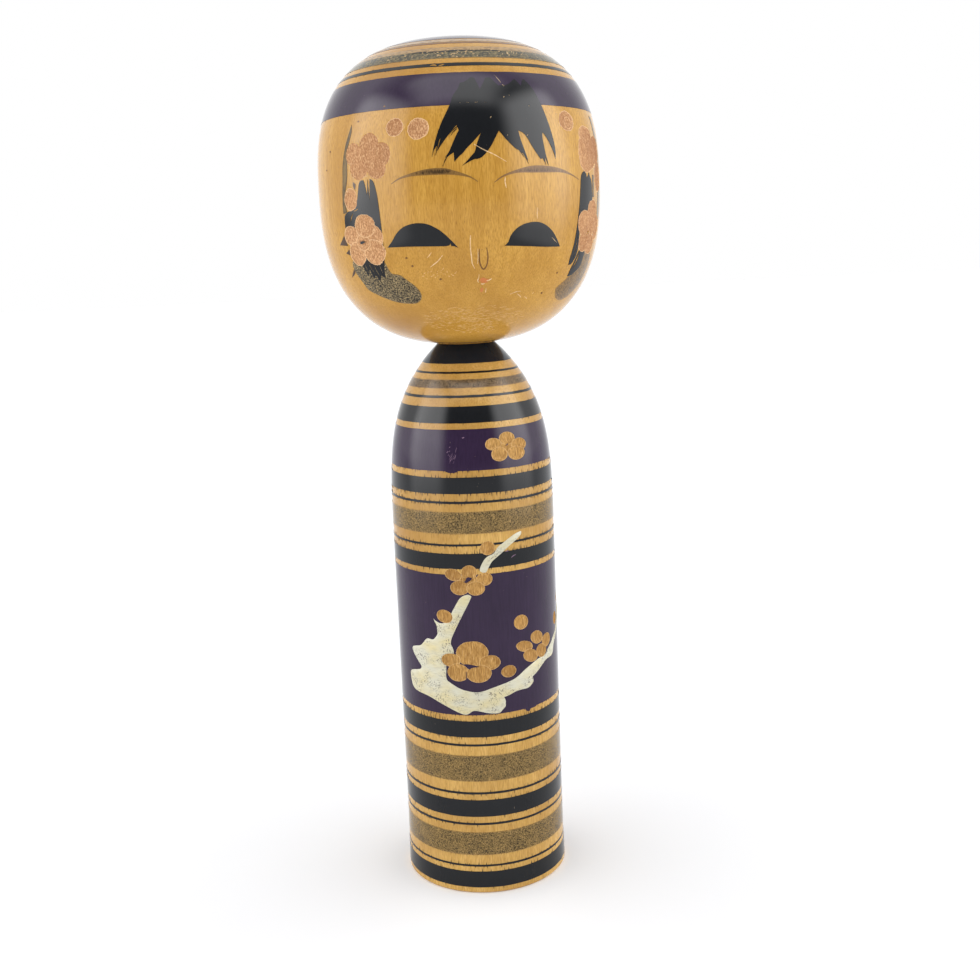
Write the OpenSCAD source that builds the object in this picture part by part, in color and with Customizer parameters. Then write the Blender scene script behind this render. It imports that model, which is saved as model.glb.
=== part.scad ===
// Kokeshi doll, about 8 sun (242 mm) tall, standing on its turned base.
// Two turnings of seasoned wood and the peg between them. The torso and the
// head are solids of revolution about Z. The peg is fixed in the head and
// turns in the torso's blind socket, where its bead is captive behind the
// socket's narrower mouth. Z = 0 is the resting plane. The face looks along -Y.

/* [Torso] */
// Height of the torso, up to the flat that the head rests on
torso_h = 159.5; // [150:0.5:165]
// Diameter of the straight part of the torso
torso_d = 47.4; // [42:0.2:54]
// How far the foot flares beyond the straight part, on the radius
foot_flare = 0.35; // [0:0.05:1]
// Height over which the foot's flare fades out
foot_flare_h = 26; // [10:1:40]
// Bevel at the edge of the base
foot_bevel = 0.5; // [0.2:0.1:1]
// Height at which the shoulder starts to curve in
shoulder_start_h = 100; // [90:1:120]
// Height at which the shoulder curve would reach the axis
shoulder_end_h = 166; // [166:0.5:172]
// Exponent of the shoulder curve: higher is squarer
shoulder_power = 4; // [3:0.1:5]

/* [Head] */
// Greatest diameter of the head
head_d = 78.8; // [70:0.2:84]
// Height of the head's widest ring
head_equator_h = 202.2; // [200:0.1:206]
// Rise of the crown above the widest ring
crown_rise = 39.8; // [36:0.1:42]
// Drop of the chin below the widest ring
chin_drop = 43; // [43:0.1:46]
// Exponent of the crown curve: higher is squarer
crown_power = 2.7; // [2.2:0.01:3]
// Exponent of the chin curve: higher is squarer
chin_power = 2.53; // [2.2:0.01:3]

/* [Neck peg] */
// Diameter of the peg
peg_d = 10; // [8:0.1:11]
// Length of the peg that is fixed in the head
peg_in_head = 18; // [12:0.5:24]
// Length of the peg that hangs in the torso
peg_in_torso = 20; // [16:0.5:26]
// How far the captive bead stands out from the peg, on the radius
bead_proud = 0.4; // [0.2:0.05:0.6]
// Length of the bead's straight part
bead_h = 3; // [2:0.1:4]
// Running clearance between the peg and its socket, on the radius
running_gap = 0.05; // [0.03:0.01:0.1]

/* [Hidden] */
$fn = 128;
// Steps along each curved profile
profile_steps = 24;
torso_r = torso_d / 2;
head_r = head_d / 2;
peg_r = peg_d / 2;
bead_r = peg_r + bead_proud;
// Bevels at the peg's ends and at both ends of the bead
peg_bevel = 1;
bead_bevel = bead_proud;
// The bead's straight part starts this far above the peg's lower end
bead_lift = 2.5;
// Vertical play between the bead and the shoulder of the socket's mouth
bead_play = 0.3;
// Room below the peg at the bottom of the blind socket
socket_bottom_room = 2;
// Air left above the peg in the head's socket, where glue gathers
glue_room = 1;

peg_bottom_h = torso_h - peg_in_torso;
peg_top_h = torso_h + peg_in_head;
bead_bottom_h = peg_bottom_h + bead_lift;
bead_top_h = bead_bottom_h + bead_h;
socket_mouth_h = bead_top_h + bead_bevel + bead_play;

// Radius of the torso at a height above the base
function flare_at(h) = foot_flare * pow(max(0, 1 - h / foot_flare_h), 2);
function shoulder_at(h) =
    pow(max(0, h - shoulder_start_h) / (shoulder_end_h - shoulder_start_h), shoulder_power);
function torso_r_at(h) = torso_r * (1 - shoulder_at(h)) + flare_at(h);

// Heights of the torso profile: fine over the foot and the shoulder
function torso_heights() = concat(
    [for (i = [1 : 6]) foot_flare_h * i / 6],
    [for (i = [0 : profile_steps]) shoulder_start_h
        + (torso_h - shoulder_start_h) * sin(90 * i / profile_steps)]);

// Height of the head's curve at an angle above (or below) its widest ring
function oval_r(angle, power) = head_r * pow(cos(angle), 2 / power);
function oval_rise(angle, rise, power) = rise * pow(sin(angle), 2 / power);

// Radius of the flat that the head rests on: the chin curve at the torso's top
seat_drop = min(1, (head_equator_h - torso_h) / chin_drop);
seat_r = head_r * pow(1 - pow(seat_drop, chin_power), 1 / chin_power);
seat_angle = asin(pow(seat_drop, chin_power / 2));

// Solid turned torso with a blind socket for the peg
module torso() {
    color([0.82, 0.62, 0.33])
        difference() {
            rotate_extrude()
                polygon(concat(
                    [[0, 0], [torso_r_at(0) - foot_bevel, 0], [torso_r_at(0), foot_bevel]],
                    [for (h = torso_heights()) [torso_r_at(h), h]],
                    [[0, torso_h]]));
            torso_socket();
        }
}

// The socket: a running bore at the mouth and a wider chamber for the bead
module torso_socket() {
    chamber_h = socket_mouth_h - peg_bottom_h + socket_bottom_room;
    translate([0, 0, socket_mouth_h - 1])
        cylinder(h = torso_h - socket_mouth_h + 2, r = peg_r + running_gap);
    translate([0, 0, peg_bottom_h - socket_bottom_room])
        cylinder(h = chamber_h, r = bead_r + running_gap);
}

// Turned head: an oval whose chin is cut to a flat seat, with the peg's socket
module head() {
    color([0.82, 0.62, 0.33])
        difference() {
            rotate_extrude()
                polygon(concat(
                    [[0, torso_h]],
                    [for (i = [profile_steps : -1 : 1])
                        let (a = seat_angle * i / profile_steps)
                        [oval_r(a, chin_power),
                         head_equator_h - oval_rise(a, chin_drop, chin_power)]],
                    [for (i = [0 : profile_steps - 1])
                        let (a = 90 * i / profile_steps)
                        [oval_r(a, crown_power),
                         head_equator_h + oval_rise(a, crown_rise, crown_power)]],
                    [[0, head_equator_h + crown_rise]]));
            translate([0, 0, torso_h - 1])
                cylinder(h = peg_in_head + glue_room + 1, r = peg_r);
        }
}

// The peg: glued in the head, with a captive bead near its lower end
module neck_peg() {
    color([0.88, 0.74, 0.52]) {
        translate([0, 0, peg_bottom_h])
            cylinder(h = peg_bevel, r1 = peg_r - peg_bevel, r2 = peg_r);
        translate([0, 0, peg_bottom_h + peg_bevel])
            cylinder(h = peg_in_torso + peg_in_head - 2 * peg_bevel, r = peg_r);
        translate([0, 0, peg_top_h - peg_bevel])
            cylinder(h = peg_bevel, r1 = peg_r, r2 = peg_r - peg_bevel);
        bead();
    }
}

module bead() {
    translate([0, 0, bead_bottom_h - bead_bevel])
        cylinder(h = bead_bevel, r1 = peg_r, r2 = bead_r);
    translate([0, 0, bead_bottom_h])
        cylinder(h = bead_h, r = bead_r);
    translate([0, 0, bead_top_h])
        cylinder(h = bead_bevel, r1 = bead_r, r2 = peg_r);
}

torso();
head();
neck_peg();
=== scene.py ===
import math

import bpy
import numpy as np
from mathutils import Matrix, Vector
from mathutils.geometry import delaunay_2d_cdt


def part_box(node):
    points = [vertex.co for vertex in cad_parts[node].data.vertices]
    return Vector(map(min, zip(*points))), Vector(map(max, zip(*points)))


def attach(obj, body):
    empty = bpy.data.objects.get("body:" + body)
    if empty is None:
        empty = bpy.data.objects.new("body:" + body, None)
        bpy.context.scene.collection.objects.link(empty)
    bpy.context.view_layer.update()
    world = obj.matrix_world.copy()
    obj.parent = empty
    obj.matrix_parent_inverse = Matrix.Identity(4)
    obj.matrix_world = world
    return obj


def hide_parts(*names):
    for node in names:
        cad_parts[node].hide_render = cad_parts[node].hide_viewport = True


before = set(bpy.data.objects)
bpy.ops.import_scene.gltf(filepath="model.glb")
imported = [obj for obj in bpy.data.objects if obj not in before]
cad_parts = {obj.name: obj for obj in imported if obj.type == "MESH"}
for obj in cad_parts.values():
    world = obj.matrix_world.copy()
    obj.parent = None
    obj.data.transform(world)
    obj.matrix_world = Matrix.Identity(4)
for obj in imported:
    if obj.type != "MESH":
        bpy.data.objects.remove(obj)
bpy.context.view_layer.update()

# The looks of a kokeshi doll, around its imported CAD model.
# Sizes are in millimetres up to the point where a mesh is made. The decoration is laid
# out on each turning's unrolled outside surface, at places (s, h): s is the arc from the
# doll's front line, measured at the turning's full radius and growing towards +X, and h
# is the height above the resting plane. Each coat of paint is a thin closed film, and
# each blossom is a group of shallow scoops gouged through the paint into the wood.

MM = 0.001

# ------------------------------------------------------------------ the two turnings

torso_high = np.array(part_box("torso")[1]) / MM
head_high = np.array(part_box("head")[1]) / MM

# These shape numbers repeat part.scad's own
TORSO_TOP = torso_high[2]
FOOT_FLARE = 0.35
FOOT_FLARE_H = 26
FOOT_BEVEL = 0.5
TORSO_R = torso_high[0] - FOOT_FLARE
SHOULDER_LOW = 100
SHOULDER_SPAN = 66
SHOULDER_POWER = 4
HEAD_R = head_high[0]
EQUATOR_H = 202.2
CROWN_RISE = head_high[2] - EQUATOR_H
CHIN_DROP = 43
CROWN_POWER = 2.7
CHIN_POWER = 2.53
PEG_R = 5
BEAD_R = 5.4
RUNNING_GAP = 0.05
MOUTH_DEPTH = 13.8
CHAMBER_DEPTH = 22
HEAD_SOCKET_DEPTH = 19


def torso_radius(h):
    flare = FOOT_FLARE * np.clip(1 - h / FOOT_FLARE_H, 0, None) ** 2
    shoulder = (np.clip(h - SHOULDER_LOW, 0, None) / SHOULDER_SPAN) ** SHOULDER_POWER
    return TORSO_R * (1 - shoulder) + flare


def head_radius(h):
    rise = np.asarray(h) - EQUATOR_H
    crown = np.clip(rise / CROWN_RISE, 0, 1) ** CROWN_POWER
    chin = np.clip(-rise / CHIN_DROP, 0, 1) ** CHIN_POWER
    above = (1 - crown) ** (1 / CROWN_POWER)
    below = (1 - chin) ** (1 / CHIN_POWER)
    return HEAD_R * np.where(rise > 0, above, below)


class Turning:
    """A turned outside surface and the body that it rides on."""

    def __init__(self, body, full_radius, radius_at, columns):
        self.body = body
        self.full_radius = full_radius
        self.radius_at = radius_at
        self.columns = columns
        self.half_turn = math.pi * full_radius

    def place(self, s, h, lift):
        """Points at (s, h), lifted off the surface along its normal."""
        step = 0.01
        angle = s / self.full_radius
        radius = self.radius_at(h)
        slope = (self.radius_at(h + step) - self.radius_at(h - step)) / (2 * step)
        out = 1 / np.sqrt(1 + slope ** 2)
        radius = radius + lift * out
        return np.stack([radius * np.sin(angle), -radius * np.cos(angle),
                         h - lift * out * slope], axis=-1)

    def normal(self, s, h, lift_at):
        """Normals of the surface that lies lift_at(s, h) off the turning."""
        step = 0.02
        along = (self.place(s + step, h, lift_at(s + step, h))
                 - self.place(s - step, h, lift_at(s - step, h)))
        up = (self.place(s, h + step, lift_at(s, h + step))
              - self.place(s, h - step, lift_at(s, h - step)))
        return unit(np.cross(along, up))


def unit(vectors):
    length = np.linalg.norm(vectors, axis=-1, keepdims=True)
    return vectors / np.where(length > 0, length, 1)


TORSO = Turning("torso", TORSO_R, torso_radius, columns=128)
HEAD = Turning("head", HEAD_R, head_radius, columns=168)

# ------------------------------------------------------------------ meshes

# Corners that share a cell of this grid are welded. It is set off from round numbers, so
# that points which are equal but for rounding share a cell.
WELD_PER_MM = 5000
WELD_SHIFT = 0.00137
# Points on the unrolled surface are told apart by so many steps per millimetre
FLAT_PER_MM = 1000
# The cosine of the sharpest corner, about 30 degrees, that a lathe-turned side smooths over
CREASE = 0.87


class Skin:
    """Gathers triangles, each corner with its own normal, and welds them into one mesh."""

    def __init__(self):
        self.corners = []
        self.normals = []
        self.slots = []
        self.marks = []

    def add(self, corners, normals=None, slots=0, marks=None):
        if normals is None:
            flat = unit(np.cross(corners[:, 1] - corners[:, 0], corners[:, 2] - corners[:, 0]))
            normals = np.repeat(flat[:, None, :], 3, axis=1)
        self.corners.append(corners)
        self.normals.append(normals)
        self.slots.append(np.broadcast_to(slots, len(corners)))
        self.marks.append(np.zeros(corners.shape[:2]) if marks is None else marks)

    def build(self, name, turning, materials, replaces=None):
        corners = np.concatenate(self.corners)
        flat = corners.reshape(-1, 3)
        cells = np.round((flat + WELD_SHIFT) * WELD_PER_MM).astype(np.int64)
        _, first, shared = np.unique(cells, axis=0, return_index=True, return_inverse=True)
        faces = shared.reshape(-1, 3)
        whole = ((faces[:, 0] != faces[:, 1]) & (faces[:, 1] != faces[:, 2])
                 & (faces[:, 2] != faces[:, 0]))
        mesh = bpy.data.meshes.new(name)
        mesh.from_pydata((flat[first] * MM).tolist(), [], faces[whole].tolist(),
                         shade_flat=False)
        for material in materials:
            mesh.materials.append(material)
        mesh.polygons.foreach_set("material_index", np.concatenate(self.slots)[whole])
        carved = mesh.attributes.new("carved", "FLOAT", "CORNER")
        carved.data.foreach_set("value", np.concatenate(self.marks)[whole].ravel())
        mesh.normals_split_custom_set(
            np.concatenate(self.normals)[whole].reshape(-1, 3).tolist())
        piece = bpy.data.objects.new(name, mesh)
        bpy.context.scene.collection.objects.link(piece)
        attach(piece, turning.body)
        if replaces:
            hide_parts(replaces)
        return piece


def triangulate(loops, seeds, keep):
    """Triangles over the plane that follow the closed loops; keep(s, h) says which stay."""
    points = []
    edges = []
    for loop in loops:
        start = len(points)
        count = len(loop)
        points.extend(loop)
        edges.extend((start + i, start + (i + 1) % count) for i in range(count))
    points.extend(seeds)
    vectors = [Vector((float(s), float(h))) for s, h in points]
    tolerance = 1e-5
    flat, _, faces, *_ = delaunay_2d_cdt(vectors, edges, [], 0, tolerance)
    flat = np.array([tuple(point) for point in flat])
    faces = np.array(faces)
    middle = flat[faces].mean(axis=1)
    return flat, faces[keep(middle[:, 0], middle[:, 1])]


def drape(skin, turning, flat, faces, lift_at, slots=0, marks_at=None, inward=False):
    """Lays flat triangles on a turning, lifted by lift_at, with exact normals. Inward
    ones are seen from under the surface."""
    if inward:
        faces = faces[:, ::-1]
    lift = lift_at(flat[:, 0], flat[:, 1])
    points = turning.place(flat[:, 0], flat[:, 1], lift)
    corners = flat[faces]
    # Each corner's normal is taken just inside its own triangle, so that creases stay crisp
    inward_share = 0.04
    inside = corners + inward_share * (corners.mean(axis=1, keepdims=True) - corners)
    s, h = inside[..., 0].ravel(), inside[..., 1].ravel()
    normals = turning.normal(s, h, lift_at).reshape(-1, 3, 3) * (-1 if inward else 1)
    marks = marks_at(s, h).reshape(-1, 3) if marks_at else None
    skin.add(points[faces], normals, slots, marks)
    return points


def rim_edges(turning, flat, faces):
    """The edges that only one triangle has, once the seam at the back is closed."""
    on_seam = np.abs(flat[:, 0]) > turning.half_turn - 1 / FLAT_PER_MM
    joined = np.stack([np.where(on_seam, turning.half_turn, flat[:, 0]), flat[:, 1]], axis=1)
    _, shared = np.unique(np.rint(joined * FLAT_PER_MM), axis=0, return_inverse=True)
    edges = np.concatenate([faces[:, [0, 1]], faces[:, [1, 2]], faces[:, [2, 0]]])
    welded = np.sort(shared.reshape(-1)[edges], axis=1)
    _, back, count = np.unique(welded, axis=0, return_inverse=True, return_counts=True)
    return edges[count[back.reshape(-1)] == 1]


# Paint films: how far their top stands proud and their underside is sunk in the wood
LIFT = 0.05
SINK = 0.04


def film(name, turning, shapes, material, cuts=(), lift=LIFT, crown=None,
         grid=1.2, feathered=False):
    """One coat of paint: a thin closed film over the shapes, less what is cut out of it.
    A feathered coat is told how far each place is inside its edge."""
    loops = [loop for shape in [*shapes, *cuts] for loop in shape.loops]
    seeds = [seed for shape in shapes for seed in shape.seeds(grid)]

    def keep(s, h):
        held = np.zeros(s.shape, bool)
        for shape in shapes:
            held |= shape.holds(s, h)
        for cut in cuts:
            held &= ~cut.holds(s, h)
        return held

    def inset(s, h):
        return np.max([shape.inset(s, h) for shape in shapes], axis=0)

    flat, faces = triangulate(loops, seeds, keep)
    top_at = crown or (lambda s, h: np.full(s.shape, lift))
    skin = Skin()
    top = drape(skin, turning, flat, faces, top_at, marks_at=inset if feathered else None)
    under = drape(skin, turning, flat, faces, lambda s, h: np.full(s.shape, -SINK),
                  inward=True)
    a, b = rim_edges(turning, flat, faces).T
    skin.add(np.stack([top[b], top[a], under[a]], axis=1))
    skin.add(np.stack([top[b], under[a], under[b]], axis=1))
    return skin.build(name, turning, [material])


def lathe(skin, turning, outline, slots=0):
    """A surface of revolution from (radius, height) points, outermost side on the right
    of the way along them. Corners sharper than CREASE stay sharp."""
    outline = np.array(outline, float)
    run = np.diff(outline, axis=0)
    flats = unit(np.stack([run[:, 1], -run[:, 0]], axis=1))
    angles = (np.arange(turning.columns + 1) / turning.columns * 2 - 1) * math.pi
    wheel = np.stack([np.sin(angles), -np.cos(angles)], axis=1)

    def ring(radius, height):
        return np.column_stack([wheel * radius, np.full(len(wheel), height)])

    for i, flat in enumerate(flats):
        before = flats[i - 1] if i else flat
        after = flats[i + 1] if i + 1 < len(flats) else flat
        low_normal = flat + before if flat @ before > CREASE else flat
        high_normal = flat + after if flat @ after > CREASE else flat
        low, high = ring(*outline[i]), ring(*outline[i + 1])
        low_n, high_n = unit(ring(*low_normal)), unit(ring(*high_normal))
        skin.add(np.stack([low[:-1], low[1:], high[1:]], axis=1),
                 np.stack([low_n[:-1], low_n[1:], high_n[1:]], axis=1), slots)
        skin.add(np.stack([low[:-1], high[1:], high[:-1]], axis=1),
                 np.stack([low_n[:-1], high_n[1:], high_n[:-1]], axis=1), slots)


# ------------------------------------------------------------------ flat shapes

# The longest straight step along a patch's outline, and along a petal's
PATCH_STEP = 0.8
PETAL_STEP = 0.28
# Loose points stand in rows. Every other row is moved on by this share of half the
# spacing, and all points are moved along and up by these shares of the spacing, so that
# few are in line with an outline's own points.
STAGGER = 0.9
ALONG_SHIFT = 0.013
UP_SHIFT = 0.31


class Patch:
    """A closed outline on the unrolled surface."""

    def __init__(self, outline):
        self.outline = finely(np.array(outline, float), PATCH_STEP)
        self.loops = [self.outline]

    def holds(self, s, h):
        inside = np.zeros(s.shape, bool)
        low, high = self.outline.min(axis=0), self.outline.max(axis=0)
        near = (s >= low[0]) & (s <= high[0]) & (h >= low[1]) & (h <= high[1])
        x, y = s[near], h[near]
        found = np.zeros(x.shape, bool)
        for (x0, y0), (x1, y1) in zip(self.outline, np.roll(self.outline, -1, axis=0)):
            if y0 != y1:
                found ^= ((y0 > y) != (y1 > y)) & (x < (x1 - x0) * (y - y0) / (y1 - y0) + x0)
        inside[near] = found
        return inside

    def inset(self, s, h):
        """How far inside the outline each place is, and 0 outside."""
        return np.where(self.holds(s, h), rim_gap(self.outline, s, h), 0)

    def seeds(self, grid):
        return grid_points(self.outline.min(axis=0), self.outline.max(axis=0), grid, self.holds)


def rim_gap(outline, s, h):
    """How far each place is from the nearest of an outline's points."""
    gap = np.full(s.shape, np.inf)
    for point in outline:
        gap = np.minimum(gap, (s - point[0]) ** 2 + (h - point[1]) ** 2)
    return np.sqrt(gap)


def rounded(outline, rounds=2, sharpest=70):
    """A closed outline with its blunt corners cut round. Corners that turn by more than
    sharpest degrees stay as they are."""
    outline = np.array(outline, float)
    for _ in range(rounds):
        before, after = np.roll(outline, 1, axis=0), np.roll(outline, -1, axis=0)
        straight = (unit(outline - before) * unit(after - outline)).sum(axis=1)
        rows = []
        for point, last, following, ahead in zip(outline, before, after, straight):
            if ahead < math.cos(math.radians(sharpest)):
                rows.append(point)
            else:
                rows += [0.75 * point + 0.25 * last, 0.75 * point + 0.25 * following]
        outline = np.array(rows)
    return outline


def finely(outline, longest):
    """A closed outline again, with points added along every step that is too long."""
    fine = []
    for start, end in zip(outline, np.roll(outline, -1, axis=0)):
        count = max(1, math.ceil(np.linalg.norm(end - start) / longest))
        fine += [start + (end - start) * i / count for i in range(count)]
    return np.array(fine)


def grid_points(low, high, grid, holds):
    """Loose points in a staggered grid, to keep triangles small where there is no outline."""
    s, h = np.meshgrid(np.arange(low[0], high[0], grid), np.arange(low[1], high[1], grid))
    s = s + grid / 2 * (np.arange(len(s)) % 2)[:, None] * STAGGER + grid * ALONG_SHIFT
    s, h = s.ravel(), h.ravel() + grid * UP_SHIFT
    inside = holds(s, h)
    return list(zip(s[inside], h[inside]))


class Group:
    """Patches that are cut out of a film together."""

    def __init__(self, patches):
        self.patches = patches
        self.loops = [patch.outline for patch in patches]

    def holds(self, s, h):
        return np.any([patch.holds(s, h) for patch in self.patches], axis=0)


# A ring's edge: the spacing of its points, how far it wavers, and half a tick's width.
# The last is the spacing of a ring's points along the seam at the back.
EDGE_STEP = 0.5
WAVER = 0.06
TICK_HALF = 0.13
SEAM_STEP = 1.5


class Ring:
    """A painted ring right round a turning. Ink has crept out of its lower and upper edge
    along the grain, in so many ticks per millimetre."""

    def __init__(self, turning, low, high, low_ticks=0.0, high_ticks=0.0, *, reach, seed,
                 runs=()):
        self.turning = turning
        rng = np.random.default_rng(seed)
        self.lower = crept_edge(rng, turning, low, -1, low_ticks, reach)
        self.upper = crept_edge(rng, turning, high, 1, high_ticks, reach)
        for middle, width, drop in runs:
            shape = np.clip(1 - ((self.lower[:, 0] - middle) / width) ** 4, 0, 1)
            self.lower[:, 1] -= drop * shape
        count = int((high - low) / SEAM_STEP) + 2
        rows = np.linspace(self.lower[0, 1], self.upper[0, 1], count)
        right = np.stack([np.full(len(rows), turning.half_turn), rows], axis=1)[1:-1]
        left = right[::-1] * [-1, 1]
        self.loops = [np.concatenate([self.lower, right, self.upper[::-1], left])]

    def inset(self, s, h):
        below = h - np.interp(s, *self.lower.T)
        above = np.interp(s, *self.upper.T) - h
        return np.clip(np.minimum(below, above), 0, None)

    def holds(self, s, h):
        return self.inset(s, h) > 0

    def seeds(self, grid):
        low, high = self.lower[:, 1].min(), self.upper[:, 1].max()
        if high - low < grid:
            return []
        reach = self.turning.half_turn - grid / 3
        return grid_points((-reach, low), (reach, high), grid, self.holds)


def crept_edge(rng, turning, height, outward, ticks, reach):
    """A ring's edge from seam to seam: a faint waver, and thin ticks in loose crowds."""
    half = turning.half_turn
    columns = np.linspace(-half, half, int(2 * half / EDGE_STEP) + 1)
    waver = np.append(WAVER * smooth_random(rng, len(columns) - 1, 4), 0)
    waver[-1] = waver[0]
    crowd = np.append(smooth_random(rng, len(columns) - 1, 24), 0)
    # More places than ticks: the crowds and the least gap between two thin them out
    places = np.sort(rng.uniform(1 - half, half - 1, int(5 * half * ticks)))
    places = places[rng.random(len(places)) < np.interp(places, columns, crowd)]
    places = places[np.diff(places, prepend=-half) > 3 * TICK_HALF]
    base = np.interp(places, columns, waver)
    length = reach * (0.3 + 0.7 * rng.random(len(places)) ** 2)
    s = np.concatenate([columns, places - TICK_HALF, places, places + TICK_HALF])
    rise = np.concatenate([waver, base, base + length, base])
    order = np.argsort(s, kind="stable")
    return np.stack([s[order], height + outward * rise[order]], axis=1)


def smooth_random(rng, count, spacing):
    """A closed smooth random row between 0 and 1, with a knot every so many columns."""
    knots = rng.random(max(2, count // spacing))
    knots = np.append(knots, knots[0])
    places = np.linspace(0, count, len(knots))
    return np.interp(np.arange(count), places, knots)


def smooth_path(points, step):
    """A Catmull-Rom curve through rows of numbers whose first two are (s, h)."""
    points = np.array(points, float)
    points = np.concatenate([points[:1], points, points[-1:]])
    rows = []
    for a, b, c, d in zip(points, points[1:], points[2:], points[3:]):
        count = max(2, math.ceil(np.linalg.norm((c - b)[:2]) / step))
        for t in np.arange(count) / count:
            rows.append(0.5 * (2 * b + (c - a) * t + (2 * a - 5 * b + 4 * c - d) * t ** 2
                               + (3 * b - a - 3 * c + d) * t ** 3))
    return np.array([*rows, points[-1]])


def brush(*stations, step=0.5):
    """One brush stroke through stations (s, h, width)."""
    path = smooth_path(stations, step)
    heading = unit(np.gradient(path[:, :2], axis=0))
    side = np.stack([-heading[:, 1], heading[:, 0]], axis=1)
    half = np.clip(path[:, 2:], 0.02, None) / 2
    outline = np.concatenate([path[:, :2] + side * half, (path[:, :2] - side * half)[::-1]])
    return Patch(outline)


def patches(outlines):
    return [Patch(rounded(outline)) for outline in outlines]


def strokes(paths, step=0.5):
    return [brush(*path, step=step) for path in paths]


def scatter(seed, count, centre, half, length, width, heading, spread):
    """Short loose strokes, thickest at the middle of an oval and heading one way."""
    tip = 0.03
    rng = np.random.default_rng(seed)
    marks = []
    for _ in range(count):
        swing, reach = rng.random() * 2 * math.pi, rng.random() ** 0.7
        s = centre[0] + half[0] * reach * math.cos(swing)
        h = centre[1] + half[1] * reach * math.sin(swing)
        angle = math.radians(heading + spread * rng.normal())
        run = length * (0.3 + rng.random()) / 2
        ds, dh = run * math.cos(angle), run * math.sin(angle)
        marks.append(brush((s - ds, h - dh, tip), (s, h, width * (0.5 + rng.random())),
                           (s + ds, h + dh, tip)))
    return marks


# A scoop's section: its depth goes as this power of what depth() says
SCOOP_POWER = 0.7
# Loose points inside a scoop keep this clear of its edge, in what depth() says
SCOOP_CLEAR = 0.06


class Petal:
    """One gouged scoop: a hand-cut oval with its half width, half height and tilt."""

    def __init__(self, s, h, half_width, half_height, tilt=0, wobble=0.02):
        self.centre = np.array([s, h])
        self.half = np.array([half_width, half_height])
        turn = math.radians(tilt)
        self.axes = np.array([[math.cos(turn), math.sin(turn)],
                              [-math.sin(turn), math.cos(turn)]])
        # Once round, if the oval were a circle of its longer half size
        count = int(6.3 * max(self.half) / PETAL_STEP)
        rng = np.random.default_rng(int(5000 + 10 * s + 100 * h))
        self.angles = (np.arange(count) / count * 2 - 1) * math.pi
        self.edge = 1 + wobble * (2 * smooth_random(rng, count, 6) + rng.random(count) - 1.5)
        oval = np.stack([np.cos(self.angles), np.sin(self.angles)], axis=1)
        self.outline = self.centre + oval * self.edge[:, None] * self.half @ self.axes

    def depth(self, s, h):
        """1 at the middle of the scoop, 0 at its edge, below 0 outside."""
        off = (np.stack([s, h], axis=-1) - self.centre) @ self.axes.T / self.half
        edge = np.interp(np.arctan2(off[..., 1], off[..., 0]), self.angles, self.edge,
                         period=2 * math.pi)
        return 1 - (off ** 2).sum(axis=-1) / edge ** 2

    def inset(self, s, h):
        """About how far each place is from the scoop's edge, and 0 outside."""
        return (1 - np.sqrt(np.clip(1 - self.depth(s, h), 0, 1))) * min(self.half)


class Carving:
    """All the scoops cut into one turning, less the small islands left standing. Outlined
    petals each keep a pale rim, merged ones have one round the blossom, worn ones none."""

    def __init__(self, depth, wobble, islands, outlined=(), merged=(), worn=()):
        self.islands = patches(islands)
        self.full_depth = depth
        self.petals = []
        for rim, petals in (("worn", worn), ("merged", merged), ("outlined", outlined)):
            for petal in petals:
                self.petals.append(Petal(*petal, wobble=wobble))
                self.petals[-1].rim = rim
        self.loops = ([petal.outline for petal in self.petals]
                      + [island.outline for island in self.islands])

    def share(self, s, h):
        """How deep each place is cut, from 0 on the untouched surface to 1."""
        cut = np.max([petal.depth(s, h) for petal in self.petals], axis=0)
        for island in self.islands:
            cut = np.where(island.holds(s, h), 0, cut)
        return np.clip(cut, 0, 1)

    def holds(self, s, h):
        return self.share(s, h) > 0

    def lift(self, s, h):
        return -self.full_depth * self.share(s, h) ** SCOOP_POWER

    def inset(self, s, h):
        """How far in from a rim each place is, and 1 where there is no rim."""
        found = np.zeros(s.shape)
        for petal in self.petals:
            gap = petal.inset(s, h)
            if petal.rim == "merged":
                found = np.maximum(found, gap)
            else:
                found = np.where(gap > 0, gap if petal.rim == "outlined" else 1, found)
        return found

    def seeds(self, grid):
        found = []
        for petal in self.petals:
            reach = max(petal.half)
            found += grid_points(petal.centre - reach, petal.centre + reach, grid,
                                 lambda s, h: petal.depth(s, h) > SCOOP_CLEAR)
        return found


# ------------------------------------------------------------------ the decoration's layout

# Blossoms and buds gouged in the torso: s, h, half width, half height, tilt in degrees.
# A later petal is cut over an earlier one.
TORSO_PETALS = [
    (7.2, 131.4, 2.6, 1.6), (7.5, 133.8, 2.7, 1.75), (2.9, 132.5, 2.5, 1.7),
    (11.5, 131.8, 2.7, 1.75), (4.6, 129.7, 2.55, 2.0), (10.2, 129.5, 3.0, 1.9),
    (-6.2, 94.8, 2.6, 1.8), (-5.8, 97.0, 2.2, 2.1), (-10.4, 96.3, 2.5, 1.7, -15),
    (-1.6, 94.9, 2.3, 1.9), (-8.6, 92.6, 2.75, 2.1), (-4.1, 92.3, 2.6, 2.0),
    (-5.9, 73.3, 4.6, 3.7), (-12.2, 71.3, 2.9, 2.0), (-1.0, 70.4, 3.1, 2.2),
    (-10.2, 67.7, 3.2, 2.6), (-4.2, 67.3, 3.6, 2.6),
    (14.75, 75.25, 2.7, 1.9, -20), (19.2, 73.3, 2.35, 2.05), (10.0, 73.6, 3.0, 1.6, -15),
    (12.1, 70.4, 2.85, 1.85, -20), (16.6, 70.8, 2.45, 2.0, -20),
    (9.0, 81.0, 2.45, 2.15, -15), (4.5, 67.2, 2.3, 1.8), (-13.5, 84.1, 2.5, 1.9, -12),
    (-0.3, 103.7, 2.1, 2.0), (26.2, 77.9, 1.7, 1.9), (31.0, 83.5, 2.2, 2.0),
]
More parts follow.
